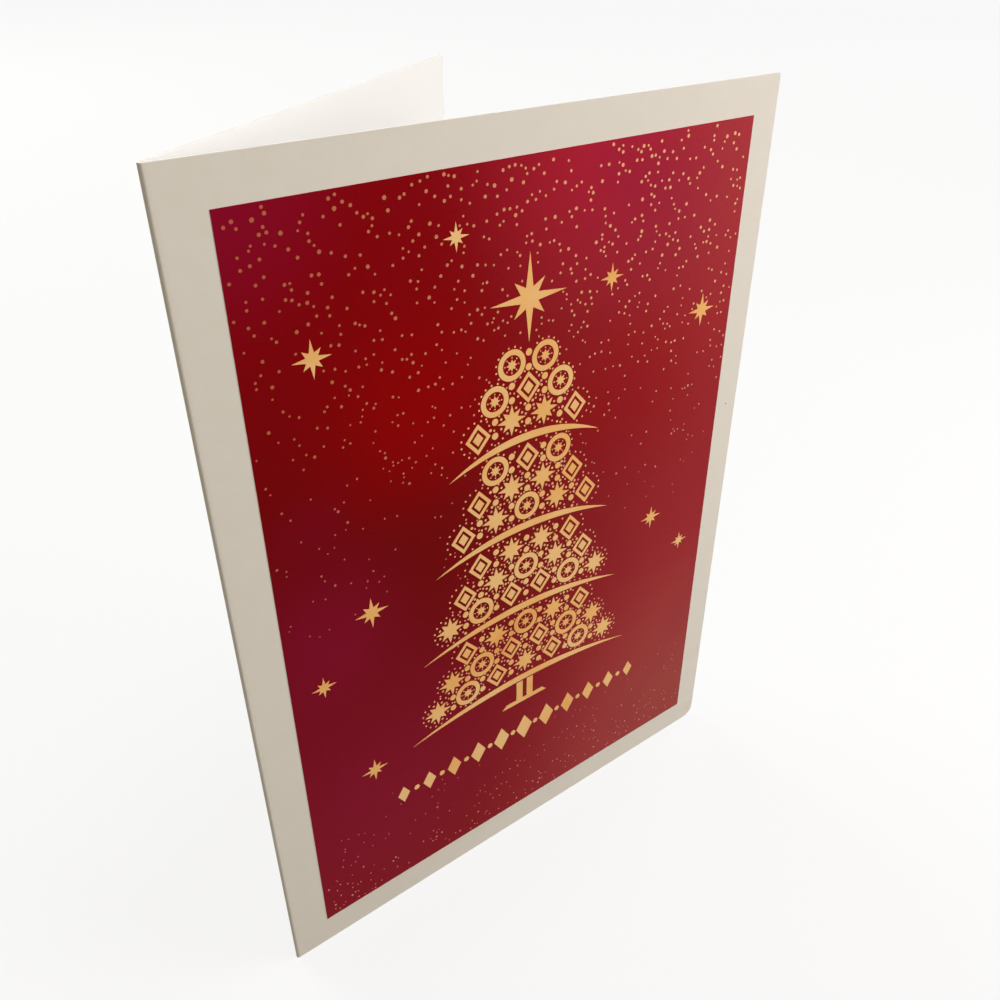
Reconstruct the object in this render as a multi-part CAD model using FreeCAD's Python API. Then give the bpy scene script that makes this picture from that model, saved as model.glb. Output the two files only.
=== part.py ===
"""Folded greeting card, standing on its lower edges with its leaves a little open.

The sheet is one solid: a front leaf, a rounded fold and a back leaf. The print on the front is a set of
thin films of ink that lie on the front leaf. Lengths are in millimetres. While the card is being built,
X runs across the front leaf from the fold, Z runs up and -Y points out of its printed face.
"""
import math
import os
import random

import FreeCAD
import Part

# Sheet
LEAF_WIDTH = 127.0
LEAF_HEIGHT = 177.8
STOCK = 0.4
CORNER_RADIUS = 0.7
WORN_CORNER_RADIUS = 3.2
BACK_CORNER_FALL = 4.0

# Fold
FOLD_RADIUS = 0.6
OPENING_DEG = 39.0

# Bare border round the printed field
BORDER_FOLD = 8.3
BORDER_FREE = 6.6
BORDER_TOP = 7.4
BORDER_FOOT = 7.4

# Films of ink
FIELD_FILM = 0.08
GOLD_FILM = 0.06

# Fir tree: rows of small motifs in tiers, with a drooping band under each tier
TREE_TIERS = 4
ROWS_PER_TIER = 3
TOP_TIER_COUNT = 4
TREE_ROW_PITCH = 5.9
TIER_GAP = 3.9
COLUMN_PITCH = 8.0
BRANCH_DROOP = 3.2
BAND_DEPTH = 1.7
BAND_OVERHANG = 2.8
MOTIF_REACH = 3.4
BEAD_RADIUS = 0.75
BEAD_RISE = 1.54

# Shapes of the motifs, as counts and as shares of their reach
STAR_RAYS = 8
SPOT_SIDES = 6
RING_SIDES = 8
LOZENGE_FRAME = ((0.86, 1.0), (0.58, 0.68), (0.36, 0.43))
RINGED_SPOT = (0.95, 0.62, 0.38)
TOP_STAR_SHAPE = (1.0, 0.56, 0.25)
TREE_STAR_SHAPE = (1.0, 0.85, 0.46)
LOOSE_STAR_SHAPE = (1.0, 0.68, 0.34)
ROW_LOZENGE_SHARE = 0.62

# Trunk, its stand and the star on top
TRUNK_WIDTH = 1.8
TRUNK_HEIGHT = 5.5
TRUNK_GAP = 1.2
TRUNK_CLEARANCE = 0.4
STAND_WIDTH = 13.0
STAND_HEIGHT = 1.2
STAR_REACH = 8.8
STAR_GAP = 0.6

# Row of plain ornaments under the tree, and how far the whole design sits above the field's middle
ROW_DROP = 15.0
ROW_COUNT = 11
ROW_PITCH = 6.8
ROW_MIDDLE_REACH = 3.9
ROW_END_REACH = 2.5
DESIGN_LIFT = 2.9

# Loose stars on both sides: their places are shares of the strip beside the tree, from the edge of the
# field inwards, and of the field's height; the last share is their size
LOOSE_STAR_REACH = 3.8
LEFT_STARS = (
    (0.73, 0.50, 0.96),
    (0.27, 0.42, 0.70),
    (0.62, 0.24, 0.82),
    (0.49, 0.84, 0.93),
    (1.60, 0.93, 0.70),
)
RIGHT_STARS = (
    (1.42, 0.84, 0.78),
    (0.36, 0.76, 1.00),
    (0.74, 0.45, 0.82),
    (0.31, 0.38, 0.67),
)

# Falling snow, thick at the head of the field and thin along its foot
SNOW_HEAD_COUNT = 205
SNOW_HEAD_DEPTH = 78.0
SNOW_FOOT_COUNT = 30
SNOW_FOOT_DEPTH = 16.0
SNOW_LARGE = 0.38
SNOW_SMALL = 0.26
SNOW_SIZE_SPREAD = (0.8, 1.1)
SNOW_EDGE_GAP = 1.2
SNOW_CLEARANCE = 0.5
SNOW_TREE_GAP = 9.8
SNOW_SEED = 11

# Places worked out from the sizes above
FLAT_WIDTH = LEAF_WIDTH - FOLD_RADIUS
FIELD_LEFT = BORDER_FOLD - FOLD_RADIUS
FIELD_WIDTH = LEAF_WIDTH - BORDER_FOLD - BORDER_FREE
FIELD_HEIGHT = LEAF_HEIGHT - BORDER_FOOT - BORDER_TOP
FIELD_MIDDLE = FIELD_LEFT + FIELD_WIDTH / 2
TIER_HEIGHT = ROWS_PER_TIER * TREE_ROW_PITCH + TIER_GAP
TREE_HEIGHT = TREE_TIERS * TIER_HEIGHT
WIDEST_HALF = (TOP_TIER_COUNT + TREE_TIERS - 1) * COLUMN_PITCH / 2
SIDE_STRIP = FIELD_WIDTH / 2 - WIDEST_HALF - BAND_OVERHANG
DESIGN_HEIGHT = ROW_MIDDLE_REACH + ROW_DROP + TREE_HEIGHT + STAR_GAP + 2 * STAR_REACH
ROW_MIDDLE = BORDER_FOOT + (FIELD_HEIGHT - DESIGN_HEIGHT) / 2 + DESIGN_LIFT + ROW_MIDDLE_REACH
TREE_BASE = ROW_MIDDLE + ROW_DROP
STAR_MIDDLE = TREE_BASE + TREE_HEIGHT + STAR_GAP + STAR_REACH

OUTWARD = FreeCAD.Vector(0, -1, 0)


# Sheet

def outline_face(points, lift=0.0):
    """Flat face with the given (x, z) corners, lift outside the front of the sheet."""
    corners = [FreeCAD.Vector(x, -lift, z) for x, z in points]
    return Part.Face(Part.makePolygon(corners + corners[:1]))


def leaf(lower_radius, corner_fall=0.0):
    """One leaf of the sheet, with rounded free corners; its upper free corner sits corner_fall lower."""
    sheet = outline_face([
        (0, 0),
        (FLAT_WIDTH, 0),
        (FLAT_WIDTH, LEAF_HEIGHT - corner_fall),
        (0, LEAF_HEIGHT),
    ]).extrude(-OUTWARD * STOCK)
    for is_upper, radius in ((False, lower_radius), (True, CORNER_RADIUS)):
        corner = [
            edge for edge in sheet.Edges
            if edge.BoundBox.XMin > FLAT_WIDTH - STOCK
            and edge.BoundBox.YLength > STOCK / 2
            and (edge.BoundBox.ZMin > LEAF_HEIGHT / 2) == is_upper
        ]
        sheet = sheet.makeFillet(radius, corner)
    return sheet


def fold():
    """Rounded fold that joins the two leaves."""
    turn = math.radians(180 - OPENING_DEG)
    inside = FOLD_RADIUS - STOCK

    def on_arc(radius, angle):
        return FreeCAD.Vector(-radius * math.sin(angle), FOLD_RADIUS - radius * math.cos(angle), 0)

    def arc(radius):
        return Part.Arc(on_arc(radius, 0), on_arc(radius, turn / 2), on_arc(radius, turn)).toShape()

    section = Part.Wire(Part.__sortEdges__([
        arc(FOLD_RADIUS),
        Part.makeLine(on_arc(FOLD_RADIUS, turn), on_arc(inside, turn)),
        arc(inside),
        Part.makeLine(on_arc(inside, 0), on_arc(FOLD_RADIUS, 0)),
    ]))
    return Part.Face(section).extrude(FreeCAD.Vector(0, 0, LEAF_HEIGHT))


def back_leaf():
    """The back leaf, swung away from the front one about the fold."""
    opening = math.radians(OPENING_DEG)
    placed = leaf(CORNER_RADIUS, BACK_CORNER_FALL).mirror(FreeCAD.Vector(0, 0, 0), OUTWARD)
    placed.rotate(FreeCAD.Vector(0, 0, 0), FreeCAD.Vector(0, 0, 1), OPENING_DEG)
    placed.translate(FreeCAD.Vector(
        -FOLD_RADIUS * math.sin(opening),
        FOLD_RADIUS * (1 + math.cos(opening)),
        0,
    ))
    return placed


def folded_card():
    """The whole sheet as one solid; the front leaf's lower free corner is worn rounder than the others."""
    return leaf(WORN_CORNER_RADIUS).fuse([fold(), back_leaf()]).removeSplitter()


# Outlines of the print

def rectangle(left, foot, width, height):
    """Corners of an upright rectangle."""
    return [(left, foot), (left + width, foot), (left + width, foot + height), (left, foot + height)]


def star(x, z, reach, shape):
    """Corners of an eight-rayed star; shape gives long rays, short rays and waist as shares of reach."""
    long_ray, short_ray, waist = [share * reach for share in shape]
    points = []
    for i in range(2 * STAR_RAYS):
        radius = waist if i % 2 else (long_ray, short_ray)[i // 2 % 2]
        angle = math.pi * i / STAR_RAYS
        points.append((x + radius * math.sin(angle), z + radius * math.cos(angle)))
    return points


def spot(x, z, radius, sides=SPOT_SIDES):
    """Corners of a small round spot with flat sides."""
    angles = [2 * math.pi * i / sides for i in range(sides)]
    return [(x + radius * math.cos(angle), z + radius * math.sin(angle)) for angle in angles]


def lozenge(x, z, half_width, half_height):
    """Corners of an upright lozenge."""
    return [(x + half_width, z), (x, z + half_height), (x - half_width, z), (x, z - half_height)]


def gold(outlines):
    """Gold ink on top of the printed field, one flat film for each outline."""
    film = OUTWARD * GOLD_FILM
    return [outline_face(points, FIELD_FILM).extrude(film) for points in outlines]


def gold_frame(outer, inner):
    """Gold ink between two outlines."""
    outer_film, inner_film = gold([outer, inner])
    return outer_film.cut(inner_film)


def printed_field():
    """The crimson field inside the bare border."""
    field = outline_face(rectangle(FIELD_LEFT, BORDER_FOOT, FIELD_WIDTH, FIELD_HEIGHT))
    return [field.extrude(OUTWARD * FIELD_FILM)]


# Fir tree

def tier_count(tier):
    """Motifs in the lowest row of a tier; tier 0 is the lowest."""
    return TOP_TIER_COUNT + TREE_TIERS - 1 - tier


def tier_half_width(tier):
    """From the trunk to the outer end of the lowest row of a tier."""
    return tier_count(tier) * COLUMN_PITCH / 2


def droop(tier, across):
    """How far a branch of a tier hangs down at a distance across from the trunk."""
    return BRANCH_DROOP * (across / tier_half_width(tier)) ** 2


def tree_rows():
    """Tier, row in the tier, count of motifs and height of every row of the tree."""
    for tier in range(TREE_TIERS):
        for row in range(ROWS_PER_TIER):
            height = TREE_BASE + tier * TIER_HEIGHT + TIER_GAP + (row + 0.5) * TREE_ROW_PITCH
            yield tier, row, tier_count(tier) - row, height


def framed_lozenge(x, z):
    """A lozenge inside a lozenge-shaped frame."""
    outer, inner, core = [
        lozenge(x, z, width * MOTIF_REACH, height * MOTIF_REACH)
        for width, height in LOZENGE_FRAME
    ]
    return [gold_frame(outer, inner)] + gold([core])


def ringed_spot(x, z):
    """A spot inside a ring."""
    outer, inner, core = [share * MOTIF_REACH for share in RINGED_SPOT]
    ring = gold_frame(spot(x, z, outer, RING_SIDES), spot(x, z, inner, RING_SIDES))
    return [ring] + gold([spot(x, z, core)])


def small_star(x, z):
    """An eight-rayed star."""
    return gold([star(x, z, MOTIF_REACH, TREE_STAR_SHAPE)])


def tree_motifs():
    """Stars, framed lozenges and ringed spots in turn along the rows of the tree."""
    kinds = (small_star, framed_lozenge, ringed_spot)
    films = []
    for tier, row, count, height in tree_rows():
        for column in range(count):
            across = (column - (count - 1) / 2) * COLUMN_PITCH
            steps_out = int(abs(across) / COLUMN_PITCH)
            motif = kinds[(tier + row + steps_out) % len(kinds)]
            films += motif(FIELD_MIDDLE + across, height - droop(tier, across))
    return films


def tree_beads():
    """Two small beads between each two motifs of a row, one above the other."""
    outlines = []
    for tier, _, count, height in tree_rows():
        for gap in range(1, count):
            across = (gap - count / 2) * COLUMN_PITCH
            for rise in (-BEAD_RISE, BEAD_RISE):
                z = height - droop(tier, across) + rise
                outlines.append(spot(FIELD_MIDDLE + across, z, BEAD_RADIUS))
    return gold(outlines)


def tree_band(tier):
    """Curved band that tapers to a point at both ends and hangs down with its tier."""
    half_width = tier_half_width(tier) + BAND_OVERHANG
    height = TREE_BASE + tier * TIER_HEIGHT + TIER_GAP / 2
    left, right = [
        FreeCAD.Vector(FIELD_MIDDLE + side * half_width, -FIELD_FILM, height - droop(tier, half_width))
        for side in (-1, 1)
    ]
    upper, lower = [
        FreeCAD.Vector(FIELD_MIDDLE, -FIELD_FILM, height + side * BAND_DEPTH / 2)
        for side in (1, -1)
    ]
    outline = Part.Wire([Part.Arc(left, upper, right).toShape(), Part.Arc(right, lower, left).toShape()])
    return Part.Face(outline).extrude(OUTWARD * GOLD_FILM)


def tree_bands():
    """One drooping band under each tier."""
    return [tree_band(tier) for tier in range(TREE_TIERS)]


def tree_trunk():
    """Two upright bars and the stand that they rise from."""
    top = TREE_BASE + (TIER_GAP - BAND_DEPTH) / 2 - TRUNK_CLEARANCE
    foot = top - TRUNK_HEIGHT
    bars = [
        rectangle(left, foot, TRUNK_WIDTH, TRUNK_HEIGHT)
        for left in (FIELD_MIDDLE - TRUNK_GAP / 2 - TRUNK_WIDTH, FIELD_MIDDLE + TRUNK_GAP / 2)
    ]
    stand = [
        (FIELD_MIDDLE - STAND_WIDTH / 2, foot - STAND_HEIGHT),
        (FIELD_MIDDLE + STAND_WIDTH / 2, foot - STAND_HEIGHT),
        (FIELD_MIDDLE + STAND_WIDTH / 2 - STAND_HEIGHT, foot),
        (FIELD_MIDDLE - STAND_WIDTH / 2 + STAND_HEIGHT, foot),
    ]
    return gold(bars + [stand])


def tree_star():
    """Eight-rayed star on top of the tree, with long upright and level rays."""
    return gold([star(FIELD_MIDDLE, STAR_MIDDLE, STAR_REACH, TOP_STAR_SHAPE)])


# Ornaments round the tree

def ornament_row():
    """Lozenges that grow towards the middle of the row, with a bead between each two."""
    outlines = []
    half_count = (ROW_COUNT - 1) / 2
    for i in range(ROW_COUNT):
        share = 1 - abs(i - half_count) / half_count
        reach = ROW_END_REACH + share * (ROW_MIDDLE_REACH - ROW_END_REACH)
        x = FIELD_MIDDLE + (i - half_count) * ROW_PITCH
        outlines.append(lozenge(x, ROW_MIDDLE, ROW_LOZENGE_SHARE * reach, reach))
        if i < ROW_COUNT - 1:
            outlines.append(spot(x + ROW_PITCH / 2, ROW_MIDDLE, BEAD_RADIUS))
    return gold(outlines)


def loose_star_places():
    """Middle and reach of every loose star."""
    for side, places in ((-1, LEFT_STARS), (1, RIGHT_STARS)):
        for inwards, up, size in places:
            x = FIELD_MIDDLE + side * (FIELD_WIDTH / 2 - inwards * SIDE_STRIP)
            yield x, BORDER_FOOT + up * FIELD_HEIGHT, size * LOOSE_STAR_REACH


def loose_stars():
    """Small stars scattered on both sides of the tree."""
    return gold([star(x, z, reach, LOOSE_STAR_SHAPE) for x, z, reach in loose_star_places()])


# Falling snow

def clear_of_ornaments(x, z, radius):
    """Whether a spot of snow keeps clear of the tree, its star, the row and the loose stars."""
    keep = radius + SNOW_CLEARANCE
    out = abs(x - FIELD_MIDDLE)
    if math.hypot(out, z - STAR_MIDDLE) < STAR_REACH + keep:
        return False
    tree_reach = WIDEST_HALF * (1 - (z - TREE_BASE) / TREE_HEIGHT) + SNOW_TREE_GAP
    if TREE_BASE - SNOW_TREE_GAP < z < STAR_MIDDLE and out < tree_reach + keep:
        return False
    row_half = (ROW_COUNT - 1) / 2 * ROW_PITCH + ROW_END_REACH
    if abs(z - ROW_MIDDLE) < ROW_MIDDLE_REACH + keep and out < row_half + keep:
        return False
    return all(math.hypot(x - sx, z - sz) > reach + keep for sx, sz, reach in loose_star_places())


def snow_spots():
    """Middle and radius of every spot of snow; none touches another."""
    draw = random.Random(SNOW_SEED)
    left = FIELD_LEFT + SNOW_EDGE_GAP
    right = FIELD_LEFT + FIELD_WIDTH - SNOW_EDGE_GAP
    head = BORDER_FOOT + FIELD_HEIGHT - SNOW_EDGE_GAP
    foot = BORDER_FOOT + SNOW_EDGE_GAP
    spots = []

    def place(x, z, radius):
        apart = all(
            math.hypot(x - other_x, z - other_z) > radius + other + SNOW_CLEARANCE
            for other_x, other_z, other in spots
        )
        if apart and clear_of_ornaments(x, z, radius):
            spots.append((x, z, radius))

    while len(spots) < SNOW_HEAD_COUNT:
        depth = 1 - math.sqrt(1 - draw.random())
        size = SNOW_LARGE + (SNOW_SMALL - SNOW_LARGE) * depth
        spread = draw.uniform(*SNOW_SIZE_SPREAD)
        place(draw.uniform(left, right), head - depth * SNOW_HEAD_DEPTH, size * spread)
    while len(spots) < SNOW_HEAD_COUNT + SNOW_FOOT_COUNT:
        rise = 1 - math.sqrt(1 - draw.random())
        place(draw.uniform(left, right), foot + rise * SNOW_FOOT_DEPTH, SNOW_SMALL)
    return spots


def snow():
    """All the spots of snow."""
    return gold([spot(x, z, radius) for x, z, radius in snow_spots()])


# Nodes, moved so that the origin is the middle of the footprint

def main():
    """Write every node as a STEP file."""
    nodes = {
        "folded_card": folded_card(),
        "printed_field": Part.makeCompound(printed_field()),
        "tree_motifs": Part.makeCompound(tree_motifs()),
        "tree_beads": Part.makeCompound(tree_beads()),
        "tree_bands": Part.makeCompound(tree_bands()),
        "tree_trunk": Part.makeCompound(tree_trunk()),
        "tree_star": Part.makeCompound(tree_star()),
        "ornament_row": Part.makeCompound(ornament_row()),
        "loose_stars": Part.makeCompound(loose_stars()),
        "snow": Part.makeCompound(snow()),
    }
    box = Part.makeCompound(list(nodes.values())).optimalBoundingBox()
    to_origin = FreeCAD.Vector(-(box.XMin + box.XMax) / 2, -(box.YMin + box.YMax) / 2, 0)
    os.makedirs("parts", exist_ok=True)
    for name, shape in nodes.items():
        shape.translate(to_origin)
        shape.exportStep(f"parts/{name}.step")
        print(name, len(shape.Solids), "solids", round(shape.Volume, 3), "mm3", shape.isValid())
    print("moved by", to_origin)


main()
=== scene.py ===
"""Looks of a folded greeting card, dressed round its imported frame. Lengths are in metres.

X runs across the front leaf from the fold, Z runs up and -Y points out of the printed face. The frame's
gold films keep their places and sizes here. The tree's rings and beads are drawn again rounder, and its
small spots as rosettes. Finer beads and snow of the same ink lie between them.
"""
import math
import random

import bmesh
import bpy
from mathutils import Euler, Matrix, Vector
from mathutils.bvhtree import BVHTree

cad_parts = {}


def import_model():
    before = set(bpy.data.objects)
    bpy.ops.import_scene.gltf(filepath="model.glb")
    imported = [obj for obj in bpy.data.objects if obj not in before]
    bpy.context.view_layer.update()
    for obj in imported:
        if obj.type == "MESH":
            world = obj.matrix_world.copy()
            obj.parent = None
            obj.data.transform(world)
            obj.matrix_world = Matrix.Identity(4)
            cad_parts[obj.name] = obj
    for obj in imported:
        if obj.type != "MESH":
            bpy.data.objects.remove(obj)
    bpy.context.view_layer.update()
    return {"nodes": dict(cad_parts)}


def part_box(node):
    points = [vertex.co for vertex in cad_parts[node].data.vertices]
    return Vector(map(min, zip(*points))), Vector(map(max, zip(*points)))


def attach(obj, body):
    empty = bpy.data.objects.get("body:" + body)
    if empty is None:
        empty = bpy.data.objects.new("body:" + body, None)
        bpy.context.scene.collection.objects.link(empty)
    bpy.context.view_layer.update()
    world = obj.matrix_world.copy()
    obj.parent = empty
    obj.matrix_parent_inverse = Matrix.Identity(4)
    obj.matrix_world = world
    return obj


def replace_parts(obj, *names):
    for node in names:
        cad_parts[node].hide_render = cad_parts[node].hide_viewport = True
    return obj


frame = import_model()

MM = 0.001

# Camera, at the photograph's viewing angle
CAMERA_PLACE = (-0.09936, -0.17000, 0.20889)
CAMERA_AZIMUTH_DEG = 37.53
CAMERA_DIP_DEG = 31.73
CAMERA_ROLL_DEG = 0.65
CAMERA_LENS = 34.04
CAMERA_SENSOR = 36.0
CAMERA_SHIFT = (-0.0250, -0.0296)
CAMERA_NEAR = 0.005

# Colours, linear
CARD_FACE = (0.845, 0.812, 0.765)
CARD_SHADE = (0.830, 0.792, 0.735)
CARD_INSIDE = (0.850, 0.845, 0.840)
CARD_CORE = (0.800, 0.775, 0.735)
# Darker card for rubbed places and cut-edge fibres, also used for the fold band's painted shade and wear
CARD_RUB_AND_FOLD_SHADE = (0.600, 0.570, 0.520)
CARD_SPECK = (0.200, 0.100, 0.060)
# Crimson print in a lit and a shaded copy; painted shade blends them towards mid height
CRIMSON_LIT = (0.275, 0.0008, 0.0040)
CRIMSON_SHADED = (0.190, 0.0010, 0.0020)
# Rose: the crimson with a painted sheen, in a lit and a shaded copy
ROSE_SHEEN_LIT = (0.465, 0.0440, 0.0560)
ROSE_SHEEN_SHADED = (0.360, 0.0200, 0.0270)
# Reds for the crimson's clouds of painted sheen; MAGENTA is also the print's random drift
RED = (0.345, 0.0000, 0.0000)
MAGENTA = (0.300, 0.0060, 0.0500)
CARMINE = (0.530, 0.0130, 0.0530)
RUSSET = (0.370, 0.0620, 0.0480)
GOLD_PALE = (0.930, 0.575, 0.235)
GOLD_WARM = (0.910, 0.485, 0.150)
GOLD_DEEP = (0.840, 0.340, 0.065)
BEAD_ROSE = (0.760, 0.300, 0.200)
SNOW_COPPER = (0.480, 0.115, 0.045)
SNOW_PEACH = (0.880, 0.420, 0.220)
SNOW_ROSE = (0.520, 0.120, 0.110)
SNOW_PINK = (0.780, 0.260, 0.250)
PAPER_WHITE = 0.955

# Places on the card
FIELD_LOW, FIELD_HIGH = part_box("printed_field")
CARD_LOW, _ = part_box("folded_card")
GOLD_LOW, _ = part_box("tree_motifs")
FIELD_FACE_Y = FIELD_LOW.y
GOLD_FACE_Y = GOLD_LOW.y

GOLD_NODES = ("tree_motifs", "tree_beads", "tree_bands", "tree_trunk", "tree_star",
              "ornament_row", "loose_stars", "snow")

# A noise is given by the length of its features, its detail, its roughness and sometimes its stretch.
# A range gives the two values between which something sets in, and sometimes its strength at each
NOISE_SPAN = (0.2, 0.8)

# Card stock: its features and gloss, and how far a face turns to count as inside or as a cut edge
MOTTLE = (3.5 * MM, 4.0, 0.65)
MOTTLE_RANGE = (0.25, 0.75)
FIBRES = (0.3 * MM, 4.0, 0.7, (1, 1, 2.4))
FIBRE_DEPTH = 0.012 * MM
FIBRE_BUMP = 0.5
CORE_FIBRE_RANGE = (0.4, 0.8, 0.0, 0.35)
CARD_ROUGHNESS = (0.5, 0.66)
CARD_SPECULAR = 0.3
INSIDE_TURN_X = (0.2, 0.5)
INSIDE_TURN_Y = (0.85, 0.95)
EDGE_TURN = (0.66, 0.72)
# Width of the fold's band of painted shade and wear, and how its fibres break it up
FOLD_BAND = 1.5 * MM
FOLD_FIBRE_RANGE = (0.3, 0.7, 0.1, 0.35)

# Marks on the card: one brown speck and a few faint rubbed places, each with its reach and depth
SPECK_PLACE = (0.0603, CARD_LOW.y, 0.1045)
SPECK_REACH = 0.34 * MM
SPECK_RANGE = (0.2, 0.45, 0.0, 0.85)
RUB_FIBRE_RANGE = (0.45, 0.65)
RUB_MARKS = (
    ((0.0615, CARD_LOW.y, 0.0250), 3.0 * MM, 0.30),
    ((0.0610, CARD_LOW.y, 0.0030), 5.0 * MM, 0.35),
    ((CARD_LOW.x, 0.0, 0.1770), 5.0 * MM, 0.30),
)

# Crimson print: where its painted rosy sheen sets in, how far down and up its painted shade reaches, its
# slow and fine unevenness
ROSE_SHEEN_START = 31 * MM
SHADE_FROM_HEAD = 70 * MM
SHADE_FROM_FOOT = 80 * MM
SHADE_BELOW_FOOT = 16 * MM
CRIMSON_DRIFT = (30 * MM, 2.0, 0.5)
CRIMSON_DRIFT_RANGE = (0.5, 0.75, 0.0, 0.16)
CRIMSON_WAVE = (1.4 * MM, 3.0, 0.55)
CRIMSON_WAVE_DEPTH = 0.002 * MM
CRIMSON_WAVE_BUMP = 0.1
CRIMSON_ROUGHNESS = (0.26, 0.34)
CRIMSON_SPECULAR = 0.04

# Soft clouds of painted sheen in the crimson: place, reach, share at the middle and tone
SHEEN_CLOUDS = (
    ((-0.0230, FIELD_FACE_Y, 0.1300), 31 * MM, 0.80, RED),
    ((0.0280, FIELD_FACE_Y, 0.1200), 36 * MM, 0.45, RED),
    ((-0.0560, FIELD_FACE_Y, 0.1720), 28 * MM, 0.50, MAGENTA),
    ((0.0180, FIELD_FACE_Y, 0.1730), 41 * MM, 0.66, CARMINE),
    ((0.0340, FIELD_FACE_Y, 0.1560), 32 * MM, 0.30, MAGENTA),
    ((-0.0480, FIELD_FACE_Y, 0.0880), 28 * MM, 0.40, MAGENTA),
    ((-0.0420, FIELD_FACE_Y, 0.0400), 60 * MM, 0.42, MAGENTA),
    ((0.0560, FIELD_FACE_Y, 0.0170), 60 * MM, 0.80, RUSSET),
)

# Gold print: how its tone drifts, and its grain and gloss
GOLD_DRIFT = (16 * MM, 2.0, 0.5)
GOLD_WARM_RANGE = (0.36, 0.62)
GOLD_DEEP_RANGE = (0.6, 0.78, 0.0, 0.7)
BEAD_DRIFT = (2.2 * MM, 2.0, 0.5)
BEAD_ROSE_RANGE = (0.42, 0.66, 0.0, 0.85)
GOLD_GRAIN = (0.25 * MM, 3.0, 0.6)
GOLD_GRAIN_RANGE = (0.55, 0.9, 0.0, 0.35)
GOLD_GRAIN_DEPTH = 0.003 * MM
GOLD_GRAIN_BUMP = 0.5
GOLD_ROUGHNESS = (0.34, 0.5)
GOLD_METALLIC = 0.15
GOLD_SPECULAR = 0.3

# Fine print. The frame's motifs are told apart by the corners of their outlines
RING_CORNERS = 16
RING_RADII = 2
LOZENGE_CORNERS = 4
SPOT_CORNERS = 6
SPOT_WAIST = 0.55
WHOLE_MOTIF_REACH = 2.5 * MM
FINE_FILM = 0.04 * MM
FINE_CLEARANCE = 0.16 * MM
WELD = 0.002 * MM
RADIUS_DIGITS = 6
FACING_FRONT = -0.5
ROUND_SIDES = 40
BEAD_SIDES = 14
DOT_SIDES = 10
STAR_RAYS = 8

# Rings of small beads round a motif: share of its reach, bead radius, count and first angle
BEAD_RINGS = (
    (0.80, 0.27 * MM, STAR_RAYS, math.pi / STAR_RAYS),
    (0.50, 0.16 * MM, STAR_RAYS, 0.0),
    (1.14, 0.22 * MM, 2 * STAR_RAYS, math.pi / (2 * STAR_RAYS)),
)

# Dots that fill the tree: each lies among motifs within its reach, near the middle of them
FILL_TRIES = 9000
FILL_LARGE = 0.36 * MM
FILL_SMALL = 0.18 * MM
FILL_REACH = 6.4 * MM
FILL_LEAN = 2.4 * MM
FILL_NEIGHBOURS = 3
FILL_SEED = 5

# Fine snow at the head and along the foot of the field
SNOW_HEAD_TRIES = 900
SNOW_HEAD_DEPTH = 92 * MM
SNOW_HEAD_SPREAD = (0.75, 1.1)
SNOW_FOOT_TRIES = 230
SNOW_FOOT_DEPTH = 30 * MM
SNOW_FOOT_SPREAD = (0.8, 1.2)
SNOW_LARGE = 0.31 * MM
SNOW_SMALL = 0.16 * MM
SNOW_EDGE_GAP = 0.7 * MM
SNOW_APART = 0.3 * MM
SNOW_SEED = 23
SNOW_PEACH_BEFORE_EDGE = 20 * MM
SNOW_ROSE_START = 30 * MM
SNOW_ROSE_SHARE = 0.8

# Stage. The floor is shaded near the card and turns to the world's white over FLOOR_FADE
FLOOR_SIZE = 12.0
FLOOR_FADE = (0.3, 3.0)
FLOOR_SHADED = 0.12
FLOOR_GLOW = 0.815
FLOOR_ROUGHNESS = 0.9
SOFT_COLOUR = (1.0, 0.89, 0.66)
SOFT_LEVEL = 0.28
LAMP_TARGET = (0.0, 0.0, 0.08)

# Lamps: name, place, size, power and colour
LAMPS = (
    ("key", (1.8, -0.2, 3.8), 2.0, 92.0, (0.87, 0.92, 1.0)),
    ("side", (0.42, -0.42, 0.32), 0.34, 2.68, (1.0, 0.945, 0.895)),
    ("left", (-0.9, -0.9, 0.7), 0.8, 2.2, (1.0, 0.84, 0.54)),
    ("inner", (1.6, 0.5, 0.7), 0.8, 2.6, (1.0, 0.99, 0.98)),
    ("back", (-0.4, 1.5, 1.0), 1.0, 22.0, (1.0, 0.99, 0.96)),
)


# Materials

# Colour sockets of the mixing node, which also has sockets of other kinds under the same names
MIX_FIRST, MIX_SECOND, MIX_RESULT = 6, 7, 2


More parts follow.
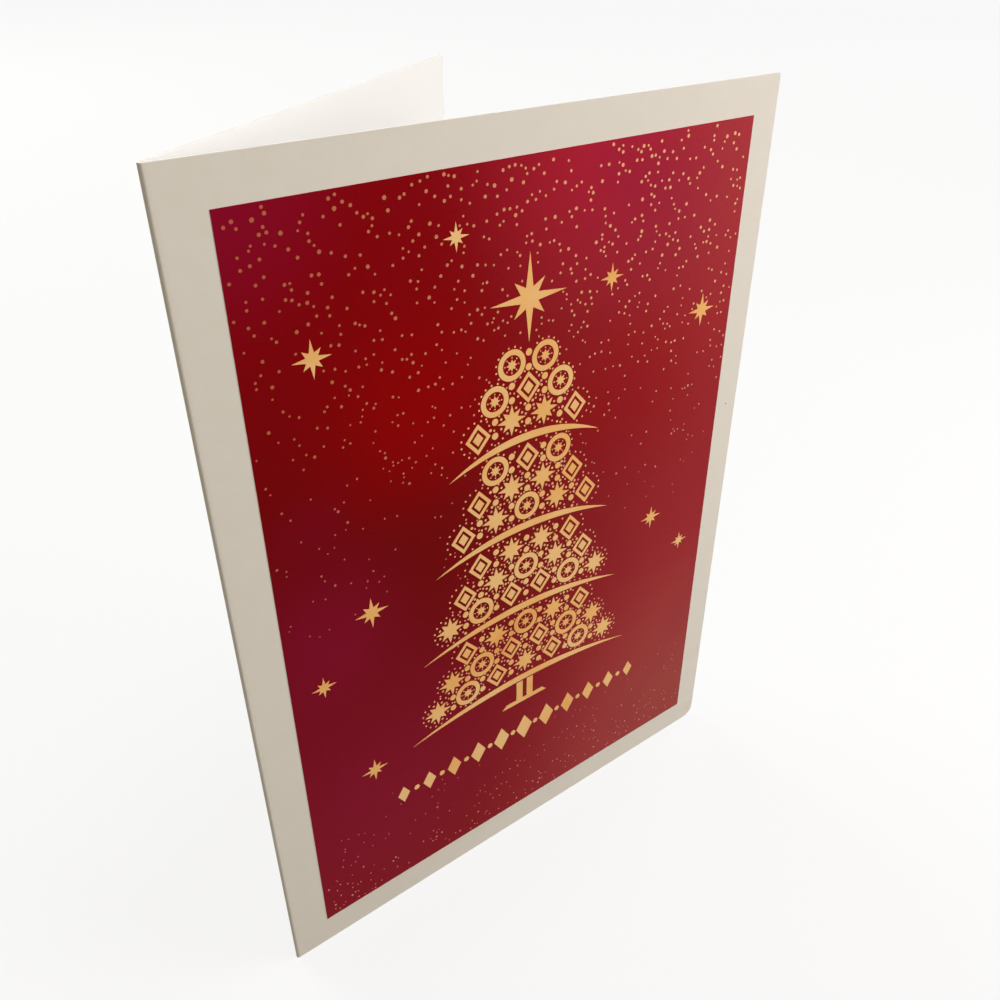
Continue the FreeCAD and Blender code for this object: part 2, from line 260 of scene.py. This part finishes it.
class Shading:
    """A node material and short calls to build it."""

    def __init__(self, name):
        self.material = bpy.data.materials.new(name)
        self.material.use_nodes = True
        self.nodes = self.material.node_tree.nodes
        self.links = self.material.node_tree.links
        self.shader = self.nodes["Principled BSDF"]
        self.place = self.nodes.new("ShaderNodeTexCoord").outputs["Object"]
        self.xyz = self.node("SeparateXYZ", Vector=self.place).outputs

    def node(self, kind, settings=(), **inputs):
        """A new node. Inputs are values or other nodes' sockets, by name with _ for a space."""
        made = self.nodes.new("ShaderNode" + kind)
        for key, value in dict(settings).items():
            setattr(made, key, value)
        for key, value in inputs.items():
            self.put(made.inputs[key.replace("_", " ")], value)
        return made

    def put(self, socket, value):
        """Gives a socket a value, or links another socket to it."""
        if isinstance(value, bpy.types.NodeSocket):
            self.links.new(value, socket)
        elif socket.type == "RGBA":
            socket.default_value = (*value, 1.0)
        else:
            socket.default_value = value

    def set(self, name, value):
        """Sets one of the shader's own sockets."""
        self.put(self.shader.inputs[name], value)

    def maths(self, operation, *values):
        """One step of arithmetic on numbers or sockets."""
        made = self.node("Math", {"operation": operation})
        for socket, value in zip(made.inputs, values):
            self.put(socket, value)
        return made.outputs["Value"]

    def distance(self, centre=(0.0, 0.0, 0.0)):
        """Distance of the surface from a point of the object."""
        away = self.node("VectorMath", {"operation": "DISTANCE"})
        self.put(away.inputs[0], self.place)
        self.put(away.inputs[1], centre)
        return away.outputs["Value"]

    def ramp(self, value, low, high, first=0.0, last=1.0):
        """A smooth step from first to last as value goes from low to high."""
        return self.node("MapRange", {"interpolation_type": "SMOOTHSTEP"}, Value=value, From_Min=low,
                         From_Max=high, To_Min=first, To_Max=last).outputs["Result"]

    def near(self, centre, reach):
        """1 at a point of the object, falling to 0 at a distance of reach."""
        return self.ramp(self.distance(centre), 0.0, reach, 1.0, 0.0)

    def noise(self, feature, detail, roughness, stretch=(1, 1, 1)):
        """Seamless noise with features of about that length."""
        scale = [1 / (feature * share) for share in stretch]
        scaled = self.node("Mapping", Vector=self.place, Scale=scale)
        return self.node("TexNoise", Vector=scaled.outputs["Vector"], Scale=1.0, Detail=detail,
                         Roughness=roughness).outputs["Fac"]

    def mix(self, share, first, second):
        """A colour between first and second."""
        made = self.node("Mix", {"data_type": "RGBA"})
        self.put(made.inputs[0], share)
        self.put(made.inputs[MIX_FIRST], first)
        self.put(made.inputs[MIX_SECOND], second)
        return made.outputs[MIX_RESULT]

    def bump(self, height, distance, strength):
        """Bump from a height."""
        return self.node("Bump", Height=height, Distance=distance, Strength=strength).outputs["Normal"]


def card_stock():
    """Warm white card, whiter inside: mottling, fibres, greyer cut edges, a fold band darkened by wear and
    painted shade, and a few marks.
    """
    look = Shading("card_stock_look")
    mottle = look.noise(*MOTTLE)
    fibres = look.noise(*FIBRES)
    facing = look.node("SeparateXYZ", Vector=look.node("NewGeometry").outputs["True Normal"]).outputs
    to_right = look.ramp(facing["X"], *INSIDE_TURN_X)
    to_back = look.ramp(facing["Y"], *INSIDE_TURN_Y)
    outside = look.mix(look.ramp(mottle, *MOTTLE_RANGE), CARD_FACE, CARD_SHADE)
    colour = look.mix(look.maths("MAXIMUM", to_right, to_back), outside, CARD_INSIDE)
    edge = look.ramp(look.maths("MAXIMUM", look.maths("ABSOLUTE", facing["Z"]), facing["X"]), *EDGE_TURN)
    core = look.mix(look.ramp(fibres, *CORE_FIBRE_RANGE), CARD_CORE, CARD_RUB_AND_FOLD_SHADE)
    colour = look.mix(edge, colour, core)
    # Painted shade and wear: the outside of the fold is darkened in a fibrous band
    fold = look.ramp(look.xyz["X"], CARD_LOW.x, CARD_LOW.x + FOLD_BAND, 1.0, 0.0)
    worn_and_shaded_fold = look.maths("MULTIPLY", fold, look.ramp(fibres, *FOLD_FIBRE_RANGE))
    colour = look.mix(worn_and_shaded_fold, colour, CARD_RUB_AND_FOLD_SHADE)
    speck = look.ramp(look.near(SPECK_PLACE, SPECK_REACH), *SPECK_RANGE)
    colour = look.mix(speck, colour, CARD_SPECK)
    for place, reach, depth in RUB_MARKS:
        near = look.near(place, reach)
        patchy = look.ramp(fibres, *RUB_FIBRE_RANGE, 0.0, depth)
        colour = look.mix(look.maths("MULTIPLY", near, patchy), colour, CARD_RUB_AND_FOLD_SHADE)
    look.set("Base Color", colour)
    look.set("Roughness", look.ramp(mottle, *NOISE_SPAN, *CARD_ROUGHNESS))
    look.set("Normal", look.bump(fibres, FIBRE_DEPTH, FIBRE_BUMP))
    look.set("Specular IOR Level", CARD_SPECULAR)
    return look.material


def crimson_ink_with_sheen():
    """Satin crimson print with painted shade and sheen: painted shade darkest at mid height, a painted rosy
    sheen to the right, and clouds of other reds painted as sheen.
    """
    look = Shading("crimson_ink_with_sheen_look")
    # Painted sheen: the crimson turns rosier towards the right
    across = look.ramp(look.xyz["X"], FIELD_LOW.x + ROSE_SHEEN_START, FIELD_HIGH.x)
    # Painted shade: the crimson is darkest at mid height and lighter towards head and foot
    below_head = look.ramp(look.xyz["Z"], FIELD_HIGH.z, FIELD_HIGH.z - SHADE_FROM_HEAD)
    above_foot = look.ramp(look.xyz["Z"], FIELD_LOW.z - SHADE_BELOW_FOOT, FIELD_LOW.z + SHADE_FROM_FOOT)
    painted_shade = look.maths("MULTIPLY", below_head, above_foot)
    left = look.mix(painted_shade, CRIMSON_LIT, CRIMSON_SHADED)
    right = look.mix(painted_shade, ROSE_SHEEN_LIT, ROSE_SHEEN_SHADED)
    colour = look.mix(across, left, right)
    # Clouds of painted sheen: brighter red, carmine, magenta and russet patches
    for place, reach, share, tone in SHEEN_CLOUDS:
        colour = look.mix(look.maths("MULTIPLY", look.near(place, reach), share), colour, tone)
    drift = look.noise(*CRIMSON_DRIFT)
    colour = look.mix(look.ramp(drift, *CRIMSON_DRIFT_RANGE), colour, MAGENTA)
    wave = look.noise(*CRIMSON_WAVE)
    look.set("Base Color", colour)
    look.set("Roughness", look.ramp(wave, *NOISE_SPAN, *CRIMSON_ROUGHNESS))
    look.set("Normal", look.bump(wave, CRIMSON_WAVE_DEPTH, CRIMSON_WAVE_BUMP))
    look.set("Specular IOR Level", CRIMSON_SPECULAR)
    return look.material


def satin(look, colour, deep):
    """Finishes a gold print: fine grain in its colour, gloss and surface."""
    grain = look.noise(*GOLD_GRAIN)
    look.set("Base Color", look.mix(look.ramp(grain, *GOLD_GRAIN_RANGE), colour, deep))
    look.set("Roughness", look.ramp(grain, *NOISE_SPAN, *GOLD_ROUGHNESS))
    look.set("Normal", look.bump(grain, GOLD_GRAIN_DEPTH, GOLD_GRAIN_BUMP))
    look.set("Metallic", GOLD_METALLIC)
    look.set("Specular IOR Level", GOLD_SPECULAR)
    return look.material


def gold_ink():
    """Satin gold print that drifts between three tones."""
    look = Shading("gold_ink_look")
    drift = look.noise(*GOLD_DRIFT)
    colour = look.mix(look.ramp(drift, *GOLD_WARM_RANGE), GOLD_PALE, GOLD_WARM)
    colour = look.mix(look.ramp(drift, *GOLD_DEEP_RANGE), colour, GOLD_DEEP)
    return satin(look, colour, GOLD_DEEP)


def bead_ink():
    """The gold of the small beads and dots: pale gold that drifts to a rosy copper from one to the next."""
    look = Shading("bead_ink_look")
    rosy = look.ramp(look.noise(*BEAD_DRIFT), *BEAD_ROSE_RANGE)
    return satin(look, look.mix(rosy, GOLD_PALE, BEAD_ROSE), GOLD_DEEP)


def snow_ink():
    """The gold of the snow: copper at the left, peach at the right and pink towards the foot."""
    look = Shading("snow_ink_look")
    across = look.ramp(look.xyz["X"], FIELD_LOW.x, FIELD_HIGH.x - SNOW_PEACH_BEFORE_EDGE)
    rose_start, rose_end = FIELD_HIGH.z - SNOW_ROSE_START, FIELD_HIGH.z - SNOW_HEAD_DEPTH
    down = look.ramp(look.xyz["Z"], rose_start, rose_end, 0.0, SNOW_ROSE_SHARE)
    foot = look.ramp(look.xyz["Z"], FIELD_LOW.z + SNOW_FOOT_DEPTH, FIELD_LOW.z)
    colour = look.mix(down, look.mix(across, SNOW_COPPER, SNOW_PEACH), SNOW_ROSE)
    return satin(look, look.mix(foot, colour, SNOW_PINK), SNOW_COPPER)


def dress(node, material):
    """Gives a node of the frame its material."""
    piece = frame["nodes"][node]
    piece.data.materials.clear()
    piece.data.materials.append(material)


# Outlines, as lists of (x, z) corners

def circle(x, z, radius, sides):
    """Corners of a round spot."""
    turns = [2 * math.pi * i / sides for i in range(sides)]
    return [(x + radius * math.cos(turn), z + radius * math.sin(turn)) for turn in turns]


def around(x, z, radius, count, start=0.0):
    """Places on a circle, the first at start radians from straight up."""
    turns = [start + 2 * math.pi * i / count for i in range(count)]
    return [(x + radius * math.sin(turn), z + radius * math.cos(turn)) for turn in turns]


def rosette(x, z, reach, waist, rays):
    """Corners of a pointed rosette."""
    points = []
    for i in range(2 * rays):
        radius = waist if i % 2 else reach
        turn = math.pi * i / rays
        points.append((x + radius * math.sin(turn), z + radius * math.cos(turn)))
    return points


def middle(corners):
    """Centre of an outline's box."""
    across = [x for x, _ in corners]
    up = [z for _, z in corners]
    return (min(across) + max(across)) / 2, (min(up) + max(up)) / 2


def radii(corners):
    """The different distances of an outline's corners from its centre, largest first."""
    x, z = middle(corners)
    return sorted({round(math.hypot(a - x, b - z), RADIUS_DIGITS) for a, b in corners}, reverse=True)


def turned(corners, x, z):
    """An outline's corners in order round its centre."""
    return sorted(corners, key=lambda place: math.atan2(place[1] - z, place[0] - x))


class Films:
    """Flat closed films of ink on the printed field, gathered into one piece."""

    def __init__(self, thickness):
        self.mesh = bmesh.new()
        self.levels = (FIELD_FACE_Y, FIELD_FACE_Y - thickness)

    def loops(self, points):
        """The outline's corners on the field and at the film's face."""
        return [[self.mesh.verts.new((x, y, z)) for x, z in points] for y in self.levels]

    def wall(self, back, front):
        """Side faces between two loops of as many corners."""
        for i, corner in enumerate(back):
            following = (i + 1) % len(back)
            self.mesh.faces.new((corner, back[following], front[following], front[i]))

    def plate(self, points):
        """A film inside one outline."""
        back, front = self.loops(points)
        self.wall(back, front)
        self.mesh.faces.new(back[::-1])
        self.mesh.faces.new(front)

    def ring(self, outer, inner):
        """A film between two outlines of as many corners."""
        outer_back, outer_front = self.loops(outer)
        inner_back, inner_front = self.loops(inner)
        self.wall(outer_back, outer_front)
        self.wall(inner_front, inner_back)
        self.wall(inner_back, outer_back)
        self.wall(outer_front, inner_front)

    def piece(self, name, material):
        """The finished piece, riding on the card."""
        bmesh.ops.recalc_face_normals(self.mesh, faces=self.mesh.faces)
        data = bpy.data.meshes.new(name)
        self.mesh.to_mesh(data)
        self.mesh.free()
        data.materials.append(material)
        made = bpy.data.objects.new(name, data)
        bpy.context.scene.collection.objects.link(made)
        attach(made, "root")
        return made


# What the frame's gold films say

def islands(node):
    """The (x, z) corners of every separate film of a node."""
    copy = bmesh.new()
    copy.from_mesh(frame["nodes"][node].data)
    bmesh.ops.remove_doubles(copy, verts=copy.verts, dist=WELD)
    found, seen = [], set()
    for start in copy.verts:
        if start in seen:
            continue
        seen.add(start)
        group, waiting = [], [start]
        while waiting:
            corner = waiting.pop()
            group.append(corner)
            for edge in corner.link_edges:
                other = edge.other_vert(corner)
                if other not in seen:
                    seen.add(other)
                    waiting.append(other)
        face_y = min(corner.co.y for corner in group)
        found.append([(corner.co.x, corner.co.z) for corner in group if corner.co.y < face_y + WELD])
    copy.free()
    return found


def gold_shapes():
    """Front faces of all the gold films, for finding the nearest one."""
    corners, faces = [], []
    for node in GOLD_NODES:
        mesh = frame["nodes"][node].data
        first = len(corners)
        corners += [vertex.co.copy() for vertex in mesh.vertices]
        front = [face for face in mesh.polygons if face.normal.y < FACING_FRONT]
        faces += [[first + i for i in face.vertices] for face in front]
    return BVHTree.FromPolygons(corners, faces)


class Room:
    """Keeps fine dots clear of the frame's gold and of each other."""

    def __init__(self):
        self.shapes = gold_shapes()
        self.taken = []

    def gap(self, x, z):
        """Distance from a place to the nearest gold of the frame."""
        return self.shapes.find_nearest(Vector((x, GOLD_FACE_Y, z)))[3]

    def take(self, x, z, radius, clearance):
        """Whether a dot fits there; if so the place is taken."""
        if self.gap(x, z) < radius + clearance:
            return False
        if any(math.hypot(x - a, z - b) < radius + r + clearance for a, b, r in self.taken):
            return False
        self.taken.append((x, z, radius))
        return True


# Fine print

def fine_motifs(material):
    """The tree's motifs in their places and sizes, with round rings and rosettes for hearts."""
    films = Films(FIELD_FACE_Y - GOLD_FACE_Y)
    for corners in islands("tree_motifs"):
        x, z = middle(corners)
        sizes = radii(corners)
        if len(corners) == RING_CORNERS and len(sizes) == RING_RADII:
            films.ring(*[circle(x, z, size, ROUND_SIDES) for size in sizes])
        elif len(corners) == 2 * LOZENGE_CORNERS:
            outwards = sorted(corners, key=lambda place: -math.hypot(place[0] - x, place[1] - z))
            halves = outwards[:LOZENGE_CORNERS], outwards[LOZENGE_CORNERS:]
            films.ring(*[turned(half, x, z) for half in halves])
        elif len(corners) == SPOT_CORNERS:
            films.plate(rosette(x, z, sizes[0], SPOT_WAIST * sizes[0], STAR_RAYS))
        else:
            films.plate(turned(corners, x, z))
    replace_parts(films.piece("fine_motifs", material), "tree_motifs")


def round_beads(material):
    """The tree's beads as round spots of the same size."""
    films = Films(FIELD_FACE_Y - GOLD_FACE_Y)
    for corners in islands("tree_beads"):
        films.plate(circle(*middle(corners), radii(corners)[0], BEAD_SIDES))
    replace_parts(films.piece("round_beads", material), "tree_beads")


def fine_beads(room, centres, material):
    """Small beads between the rays of the stars and round every motif, where there is room."""
    films = Films(FINE_FILM)
    for x, z, reach in centres:
        for share, radius, count, start in BEAD_RINGS:
            for a, b in around(x, z, share * reach, count, start):
                if room.take(a, b, radius, FINE_CLEARANCE):
                    films.plate(circle(a, b, radius, DOT_SIDES))
    films.piece("fine_beads", material)


def fill_dots(room, centres, material):
    """Small dots that fill the tree between its motifs, largest first."""
    draw = random.Random(FILL_SEED)
    films = Films(FINE_FILM)
    left = min(x for x, _, _ in centres)
    right = max(x for x, _, _ in centres)
    foot = min(z for _, z, _ in centres)
    head = max(z for _, z, _ in centres)
    for attempt in range(FILL_TRIES):
        radius = FILL_LARGE + (FILL_SMALL - FILL_LARGE) * attempt / FILL_TRIES
        x, z = draw.uniform(left, right), draw.uniform(foot, head)
        close = [(a, b) for a, b, _ in centres if math.hypot(a - x, b - z) < FILL_REACH]
        if len(close) < FILL_NEIGHBOURS:
            continue
        mean_x, mean_z = (sum(place[i] for place in close) / len(close) for i in (0, 1))
        if math.hypot(mean_x - x, mean_z - z) < FILL_LEAN and room.take(x, z, radius, FINE_CLEARANCE):
            films.plate(circle(x, z, radius, DOT_SIDES))
    films.piece("fill_dots", material)


def fine_snow(room, material):
    """More snow between the frame's: it thins out and shrinks downwards, and a little lies at the foot."""
    draw = random.Random(SNOW_SEED)
    films = Films(FINE_FILM)
    left, right = FIELD_LOW.x + SNOW_EDGE_GAP, FIELD_HIGH.x - SNOW_EDGE_GAP
    head, foot = FIELD_HIGH.z - SNOW_EDGE_GAP, FIELD_LOW.z + SNOW_EDGE_GAP

    def place(x, z, radius):
        if room.take(x, z, radius, SNOW_APART):
            films.plate(circle(x, z, radius, DOT_SIDES))

    for _ in range(SNOW_HEAD_TRIES):
        depth = 1 - math.sqrt(1 - draw.random())
        radius = (SNOW_LARGE + (SNOW_SMALL - SNOW_LARGE) * depth) * draw.uniform(*SNOW_HEAD_SPREAD)
        place(draw.uniform(left, right), head - depth * SNOW_HEAD_DEPTH, radius)
    for _ in range(SNOW_FOOT_TRIES):
        rise = 1 - math.sqrt(1 - draw.random())
        x = draw.uniform(left, right)
        place(x, foot + rise * SNOW_FOOT_DEPTH, SNOW_SMALL * draw.uniform(*SNOW_FOOT_SPREAD))
    films.piece("fine_snow", material)


# Stage

def choose_for_camera(nodes, links, lighting, seen, output):
    """Shows one shader to the camera, in reflections and through glass, and another to all other rays."""
    path = nodes.new("ShaderNodeLightPath").outputs
    total = path["Is Camera Ray"]
    for name in ("Is Glossy Ray", "Is Transmission Ray"):
        step = nodes.new("ShaderNodeMath")
        step.operation = "MAXIMUM"
        links.new(total, step.inputs[0])
        links.new(path[name], step.inputs[1])
        total = step.outputs["Value"]
    choose = nodes.new("ShaderNodeMixShader")
    links.new(total, choose.inputs["Fac"])
    links.new(lighting, choose.inputs[1])
    links.new(seen, choose.inputs[2])
    links.new(choose.outputs["Shader"], output)


def floor():
    """Pale floor that keeps the card's soft shadow and is near white to the camera and in reflections."""
    bpy.ops.mesh.primitive_plane_add(size=FLOOR_SIZE, location=(0, 0, 0))
    plane = bpy.context.object
    plane.name = "floor"
    look = Shading("floor_look")
    away = look.distance()
    grey = look.ramp(away, *FLOOR_FADE, FLOOR_SHADED, 0.0)
    look.set("Base Color", look.node("CombineXYZ", X=grey, Y=grey, Z=grey).outputs["Vector"])
    look.set("Roughness", FLOOR_ROUGHNESS)
    look.set("Specular IOR Level", 0.0)
    glow = look.node("Emission", Strength=look.ramp(away, *FLOOR_FADE, FLOOR_GLOW, PAPER_WHITE))
    bright = look.nodes.new("ShaderNodeAddShader")
    look.put(bright.inputs[0], look.shader.outputs["BSDF"])
    look.put(bright.inputs[1], glow.outputs["Emission"])
    choose_for_camera(look.nodes, look.links, look.shader.outputs["BSDF"], bright.outputs["Shader"],
                      look.nodes["Material Output"].inputs["Surface"])
    plane.data.materials.append(look.material)


def world():
    """Even soft light from all sides, and white for the camera and in reflections."""
    made = bpy.data.worlds.new("studio")
    bpy.context.scene.world = made
    made.use_nodes = True
    nodes, links = made.node_tree.nodes, made.node_tree.links
    soft = nodes["Background"]
    soft.inputs["Color"].default_value = (*SOFT_COLOUR, 1)
    soft.inputs["Strength"].default_value = SOFT_LEVEL
    white = nodes.new("ShaderNodeBackground")
    white.inputs["Color"].default_value = (PAPER_WHITE, PAPER_WHITE, PAPER_WHITE, 1)
    choose_for_camera(nodes, links, soft.outputs["Background"], white.outputs["Background"],
                      nodes["World Output"].inputs["Surface"])


def lamp(name, place, size, power, colour):
    """Soft square lamp that looks at the card."""
    data = bpy.data.lights.new(name, "AREA")
    data.shape = "SQUARE"
    data.size = size
    data.energy = power
    data.color = colour
    made = bpy.data.objects.new(name, data)
    made.location = place
    made.rotation_euler = (Vector(LAMP_TARGET) - Vector(place)).to_track_quat("-Z", "Y").to_euler()
    bpy.context.scene.collection.objects.link(made)


def camera():
    """Camera at the photograph's place."""
    data = bpy.data.cameras.new("camera")
    data.lens = CAMERA_LENS
    data.sensor_width = CAMERA_SENSOR
    data.clip_start = CAMERA_NEAR
    data.shift_x, data.shift_y = CAMERA_SHIFT
    made = bpy.data.objects.new("camera", data)
    aim = Euler((math.radians(90 - CAMERA_DIP_DEG), 0, -math.radians(CAMERA_AZIMUTH_DEG))).to_matrix()
    made.location = CAMERA_PLACE
    made.rotation_euler = (aim @ Matrix.Rotation(math.radians(CAMERA_ROLL_DEG), 3, "Z")).to_euler()
    bpy.context.scene.collection.objects.link(made)
    bpy.context.scene.camera = made


def main():
    """Dresses the card and sets it on its stage."""
    gold = gold_ink()
    bead_gold = bead_ink()
    snow_gold = snow_ink()
    dress("folded_card", card_stock())
    dress("printed_field", crimson_ink_with_sheen())
    for node in GOLD_NODES:
        dress(node, snow_gold if node == "snow" else gold)

    motifs = [(*middle(corners), radii(corners)[0]) for corners in islands("tree_motifs")]
    centres = [motif for motif in motifs if motif[2] > WHOLE_MOTIF_REACH]
    room = Room()
    fine_motifs(gold)
    round_beads(gold)
    fine_beads(room, centres, bead_gold)
    fill_dots(room, centres, bead_gold)
    fine_snow(room, snow_gold)

    floor()
    world()
    for settings in LAMPS:
        lamp(*settings)
    camera()
    bpy.context.scene.view_settings.view_transform = "Standard"


main()
